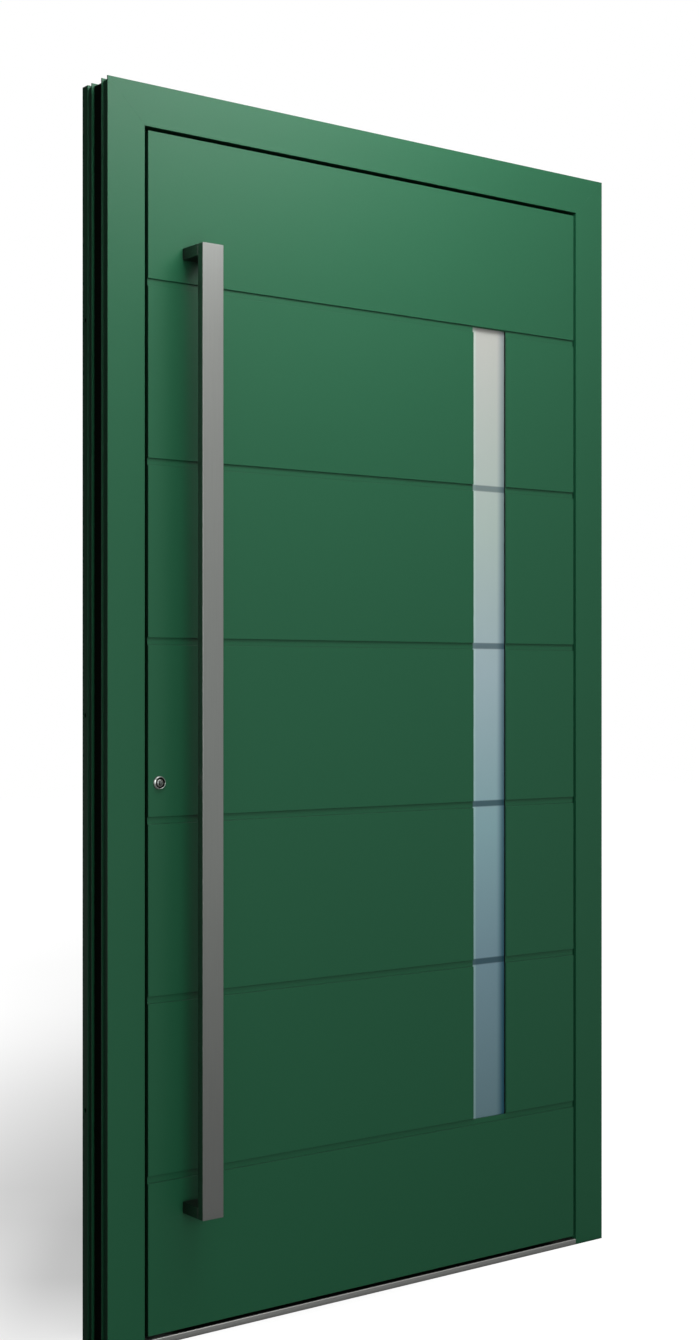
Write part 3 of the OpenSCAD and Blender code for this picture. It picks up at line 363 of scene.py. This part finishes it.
dress("stile_lock_outer stile_lock_inner stile_hinge_outer stile_hinge_inner rail_top_outer rail_top_inner "
      "rail_bottom_outer rail_bottom_inner outer_skin inner_skin glazing_frame", green_coat)
ease("outer_skin", 0.0004)

foam = Finish("insulating_foam", roughness=0.95, specular_ior_level=0.1)
cells = foam.node("TexVoronoi", {}, {"Vector": foam.place(), "Scale": 380.0}, "Distance")
foam.feed(base_color=foam.mix(cells, tone(0.70, 0.62, 0.38), tone(0.88, 0.83, 0.64)),
          normal=foam.relief(cells, 0.0004))
dress("foam_core", foam)

# ---- Glass strip ----
# An outer pane of satinated glass in front of two clear ones, bedded in rubber. The satin side lies
# inside, so the strip is smooth outside. Its colour is a painted reflection, pale at its head and bluer
# towards its foot. A narrow dark band carries on each groove of the skin. A highlight is painted along
# the pane's left edge, and the right reveal's shade and reflection are painted along its right edge.
frosted = Finish("frosted_glass", specular_ior_level=0.5)
spot = frosted.place()
up, over = frosted.axis(spot, "Z"), frosted.axis(spot, "X")
pane_low, pane_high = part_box("glass_frosted_pane")
held_edge = 0.012
left_edge, right_edge = pane_low[0] + held_edge, pane_high[0] - held_edge
recess = pane_low[1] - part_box("outer_skin")[0][1]
groove_foot, groove_top, groove_step, groove_h = 0.290, 1.820, 0.306, 0.0125

# Painted reflection: a pale sky at the head fading to blue-grey towards the foot.
painted_reflection = frosted.ramp(up * 0.5, [(z / 2, colour) for z, colour in (
    (0.29, (0.124, 0.212, 0.243)), (0.60, (0.172, 0.28, 0.33)), (0.85, (0.229, 0.378, 0.412)),
    (1.15, (0.325, 0.430, 0.468)), (1.43, (0.356, 0.437, 0.407)), (1.80, (0.38, 0.385, 0.36)))])
# Painted highlight: a pale line just inside the pane's left edge, where the skin's edge meets it.
pale_line = left_edge + 0.9 * recess
painted_highlight = frosted.eased(over, pale_line + 0.006, pale_line + 0.003)
body = frosted.mix(painted_highlight * 0.28, painted_reflection, frosted.mix(0.6, painted_reflection, tone(0.60, 0.90, 0.76)))
# Painted shade and reflection of the right reveal, stronger towards the foot.
painted_reveal_shade = frosted.eased(over, right_edge - 0.021, right_edge + 0.001)
towards_foot = frosted.eased(up, groove_top, groove_foot, 0.45, 0.97, "LINEAR")
body = frosted.mix(painted_reveal_shade * towards_foot, body, tone(0.016, 0.082, 0.122))

steps_up = (up - groove_foot + groove_h) / groove_step
above_groove = (steps_up - steps_up.math("FLOOR")) * groove_step
band = (frosted.eased(above_groove, 0.0, 0.003)
        * frosted.eased(above_groove, groove_h + 0.002, groove_h - 0.001)
        * (up < groove_top - 0.1) * (up > groove_foot + 0.1))
band_depth = frosted.eased(up, 1.5, 0.9, 0.60, 0.82, "LINEAR")
body = frosted.mix(band * band_depth, body, tone(0.012, 0.048, 0.066))
frosted.feed(base_color=body, roughness=0.22 + 0.06 * frosted.grain(60.0, 3.0))
dress("glass_frosted_pane", frosted)

clear = Finish("clear_glass", transmission_weight=1.0, ior=1.5)
smear = clear.grain(14.0, 4.0)
clear.feed(base_color=clear.mix(smear, tone(0.86, 0.93, 0.91), tone(0.91, 0.96, 0.95)),
           roughness=0.02 + 0.03 * smear)
dress("glass_clear_panes", clear)


# ---- Pull bar ----
# Flat bar and two legs of stainless steel, brushed along their length and screwed through the leaf
# with studs. The edges are broken with a file, so they catch the light. Shade is painted on the steel
# where it is enclosed.
def brushed(name, low, high, stretch, roughness, reach=0.02, shade=0.45):
    finish = Finish(name, metallic=1.0)
    strokes = finish.grain(700.0, 4.0, stretch)
    haze = finish.grain(6.0, 3.0)
    # Painted shade: the steel falls to its low tone times shade where ambient occlusion finds it enclosed.
    painted_shade_steel = tone(*(shade * part for part in low[:3]))
    steel = finish.mix(strokes * 0.7 + haze * 0.3, low, high)
    finish.feed(base_color=finish.mix(unshaded_share(finish, reach, 0.62, 0.995), painted_shade_steel, steel),
                roughness=roughness + 0.10 * strokes + 0.05 * haze,
                normal=finish.relief(strokes, 0.00005))
    return finish


bar_steel = brushed("brushed_stainless_bar", tone(0.590, 0.605, 0.583), tone(0.708, 0.725, 0.703),
                    stretch=(1, 1, 0.012), roughness=0.23, reach=0.25, shade=0.15)
leg_steel = brushed("brushed_stainless_legs", tone(0.56, 0.56, 0.54), tone(0.68, 0.68, 0.66),
                    stretch=(1, 0.02, 1), roughness=0.26, reach=0.25, shade=0.15)
dress("pull_bar pull_bar_studs", bar_steel)
dress("pull_bar_leg_top pull_bar_leg_bottom", leg_steel)
ease("pull_bar pull_bar_leg_top pull_bar_leg_bottom", 0.0008)

# ---- Locks, plates and hardware ----
# Satin stainless plates, brushed along their length and screwed on; nickel-plated brass bolts and
# cylinder; and zinc-plated steel cases, rods, pins and screws with a cool, cloudy skin. Shade is
# painted into the steel and nickel where they are enclosed.
plate_steel = brushed("brushed_stainless_plates", tone(0.58, 0.58, 0.56), tone(0.70, 0.70, 0.68),
                      stretch=(1, 1, 0.02), roughness=0.24)
dress("strike_main strikes_pin lock_faceplate handle_plate", plate_steel)
ease("handle_plate", 0.0015, 3)

nickel = Finish("nickel_plate", metallic=1.0)
wipe = nickel.grain(90.0, 3.0, (0.1, 1, 1))
nickel_skin = nickel.mix(wipe, tone(0.66, 0.64, 0.59), tone(0.76, 0.74, 0.69))
# Painted shade: the nickel falls to near black where ambient occlusion finds it enclosed.
nickel.feed(base_color=nickel.mix(unshaded_share(nickel, 0.008, 0.60, 1.0), tone(0.02, 0.022, 0.02), nickel_skin),
            roughness=0.16 + 0.12 * wipe,
            normal=nickel.relief(wipe, 0.00004))
dress("cylinder_body cylinder_plug latch_bolt deadbolt pin_bolts", nickel)

zinc = Finish("zinc_plated_steel", metallic=1.0)
spangle = zinc.axis(zinc.node("TexVoronoi", {}, {"Vector": zinc.place(), "Scale": 220.0}, "Color"), "X")
zinc.feed(base_color=zinc.mix(spangle, tone(0.52, 0.53, 0.55), tone(0.66, 0.67, 0.70)),
          roughness=0.30 + 0.14 * zinc.grain(120.0, 3.0))
dress("frame_screws leaf_screws hinge_pins lever_spindle drive_rods lock_case pin_bolt_cases", zinc)


# ---- Cylinder collar and plug ----
# The collar is turned from stainless bar, polished and pressed on over the cylinder: its straight
# bore rolls over into a thin lip. The plug's face is domed inside it, with the keyway milled in.
# Shade is painted into the collar's bore, and the keyway's dark slot is painted as a black block.
def skin_over(form, rings, closed=False):
    rows = list(zip(rings, rings[1:])) + ([(rings[-1], rings[0])] if closed else [])
    for one, two in rows:
        for k in range(len(one)):
            after = (k + 1) % len(one)
            form.faces.new((one[k], one[after], two[after], two[k]))
    if not closed:
        for end in (rings[0], rings[-1]):
            form.faces.new(end)


def turned(form, centre, profile, steps=64, closed=False):
    angles = [2 * math.pi * k / steps for k in range(steps)]
    skin_over(form, [[form.verts.new((centre[0] + r * math.cos(angle), centre[1] + y,
                                      centre[2] + r * math.sin(angle))) for angle in angles]
                     for r, y in profile], closed)


def arc(centre, radius, start, end, steps):
    turns = (math.radians(start + (end - start) * k / steps) for k in range(steps + 1))
    return [(centre[0] + radius * math.cos(turn), centre[1] + radius * math.sin(turn)) for turn in turns]


def made(name, form, finish, body, slot, *nodes):
    bmesh.ops.recalc_face_normals(form, faces=form.faces)
    mesh = bpy.data.meshes.new(name)
    form.to_mesh(mesh)
    form.free()
    mesh.materials.append(finish.material)
    mesh.set_sharp_from_angle(angle=math.radians(40))
    piece = bpy.data.objects.new(name, mesh)
    scene.collection.objects.link(piece)
    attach(piece, body)
    if nodes:
        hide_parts(*nodes)


polished = Finish("polished_stainless", metallic=1.0)
turning = polished.grain(500.0, 2.0, (1, 0.02, 1))
bright = polished.mix(turning, tone(0.78, 0.84, 0.80), tone(0.86, 0.92, 0.88))
# Painted shade: the steel falls to near black in the collar's bore, where ambient occlusion finds it
# enclosed.
polished.feed(base_color=polished.mix(unshaded_share(polished, 0.007, 0.55, 0.95), tone(0.03, 0.04, 0.035), bright),
              roughness=0.22 + 0.06 * turning)

low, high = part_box("cylinder_collar")
lock_x, lock_z = (low[0] + high[0]) / 2, (low[2] + high[2]) / 2
rim_r, throat_r, bore_r, proud = (high[0] - low[0]) / 2, 0.0082, 0.0092, high[1] - low[1]
seat_t, lip_r, corner_r, corner_y = 0.0005, 0.0007, 0.0006, 0.0009
profile = ([(throat_r, 0), (throat_r, seat_t), (bore_r, seat_t), (bore_r, proud - 0.0006)]
           + arc((bore_r + lip_r, proud - lip_r), lip_r, 170, 52, 5)
           + arc((rim_r - corner_r, corner_y), corner_r, 50, 0, 4) + [(rim_r, 0)])
form = bmesh.new()
turned(form, (lock_x, high[1], lock_z), [(r, -out) for r, out in profile], 72, closed=True)
made("collar_ring", form, polished, "leaf", "brushed_stainless", "cylinder_collar")

plug_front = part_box("cylinder_plug")[0][1]
plug_r, dome = 0.0056, 0.0012
form = bmesh.new()
turned(form, (lock_x, plug_front, lock_z), [(plug_r, 0.0004), (plug_r, -0.0001)]
       + [(plug_r * math.cos(turn), -dome * math.sin(turn)) for turn in (0.25, 0.5, 0.75, 1.0, 1.25, 1.45)],
       48)
made("plug_face", form, polished, "lock_turn", "nickel_plate")

# Painted shade: the keyway is a black block set in the plug's face, where its slot would be dark.
keyway_size = (0.0022, 0.0006, 0.0074)
keyway_centre = (lock_x - 0.001, plug_front - 0.00125, lock_z - 0.0004)
form = bmesh.new()
bmesh.ops.create_cube(form, size=1.0)
for corner in form.verts:
    corner.co = [middle + share * size for middle, share, size in zip(keyway_centre, corner.co, keyway_size)]
bmesh.ops.bevel(form, geom=form.edges[:], offset=0.0002, segments=2, affect="EDGES")
made("keyway", form, black_plastic, "lock_turn", "black_polyamide")


# ---- Lever ----
# The inside lever is forged from stainless bar in one piece: a round neck bends into a flat grip with
# full rounded edges. The neck turns in the handle plate and is fixed on the square spindle.
def swept(form, path, up=(0, 0, 1), steps=32):
    rings = []
    for centre, across, half_wide, half_tall, power in path:
        ring = []
        for k in range(steps):
            turn = 2 * math.pi * k / steps
            c, s = math.cos(turn), math.sin(turn)
            wide = math.copysign(abs(c) ** power, c) * half_wide
            tall = math.copysign(abs(s) ** power, s) * half_tall
            ring.append(form.verts.new(Vector(centre) + Vector(across) * wide + Vector(up) * tall))
        rings.append(ring)
    skin_over(form, rings)


lever_steel = brushed("brushed_stainless_lever", tone(0.60, 0.60, 0.58), tone(0.72, 0.72, 0.70),
                      stretch=(0.03, 1, 1), roughness=0.22)
low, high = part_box("lever_handle")
plate_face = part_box("handle_plate")[1][1]
lever_z = (low[2] + high[2]) / 2
half_tall, half_thick, neck_r, bend_r = (high[2] - low[2]) / 2, 0.006, 0.0088, 0.013
grip_y = high[1] - half_thick - 0.0001
oval, squared, squared_tip = 1.0, 0.65, 0.85  # a section's power: less than 1 squares it off
path = [((lock_x, y, lever_z), (1, 0, 0), neck_r, neck_r, oval)
        for y in (plate_face - 0.003, grip_y - bend_r)]
for k in range(1, 13):
    share = k / 12
    turn = math.radians(90 * share)
    path.append(((lock_x + bend_r * (1 - math.cos(turn)), grip_y - bend_r * (1 - math.sin(turn)), lever_z),
                 (math.cos(turn), -math.sin(turn), 0),
                 neck_r + (half_thick - neck_r) * share, neck_r + (half_tall - neck_r) * share,
                 oval + (squared - oval) * share))
for reach in (0.03, 0.06, 0.09):
    path.append(((lock_x + reach, grip_y, lever_z), (0, -1, 0), half_thick, half_tall, squared))
for k in range(10):
    turn = math.radians(10 * k)
    path.append(((high[0] - half_tall * 0.6 * (1 - math.sin(turn)), grip_y, lever_z), (0, -1, 0),
                 half_thick * (0.35 + 0.65 * math.cos(turn)), half_tall * (0.2 + 0.8 * math.cos(turn)),
                 squared_tip))
form = bmesh.new()
swept(form, path)
made("lever_grip", form, lever_steel, "lever", "brushed_stainless", "lever_handle")

# ---- Thumbturn ----
# A rounded wing on a turned rose, milled from one piece of stainless bar and pressed on the inner
# end of the cylinder's plug, which it turns.
low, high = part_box("thumbturn")
rose_r, rose_t, rose_edge, stem_r, wing_t, wing_h = 0.0139, 0.004, 0.002, 0.0062, 0.0036, 0.013
rose_y = plate_face + 0.001
wing_foot = rose_y + rose_t
wing_deep, wing_squared = (high[1] - rose_y - rose_t) / 2, 0.6
form = bmesh.new()
turned(form, (lock_x, rose_y, lock_z),
       [(rose_r, 0.0)] + arc((rose_r - rose_edge, rose_t - rose_edge), rose_edge, 0, 80, 6))
turned(form, (lock_x, low[1], lock_z), [(stem_r, 0.0), (stem_r, rose_y - low[1] + 0.001)], 32)
path = []
for k in range(-9, 10):
    turn = math.radians(10 * k)
    path.append(((lock_x, (wing_foot + high[1]) / 2 - 0.0003, lock_z + wing_h * math.sin(turn)), (1, 0, 0),
                 wing_t * (0.45 + 0.55 * math.cos(turn)), wing_deep * (0.62 + 0.38 * math.cos(turn)),
                 wing_squared))
swept(form, path, up=(0, 1, 0), steps=28)
made("turn_knob", form, lever_steel, "lock_turn", "brushed_stainless", "thumbturn")
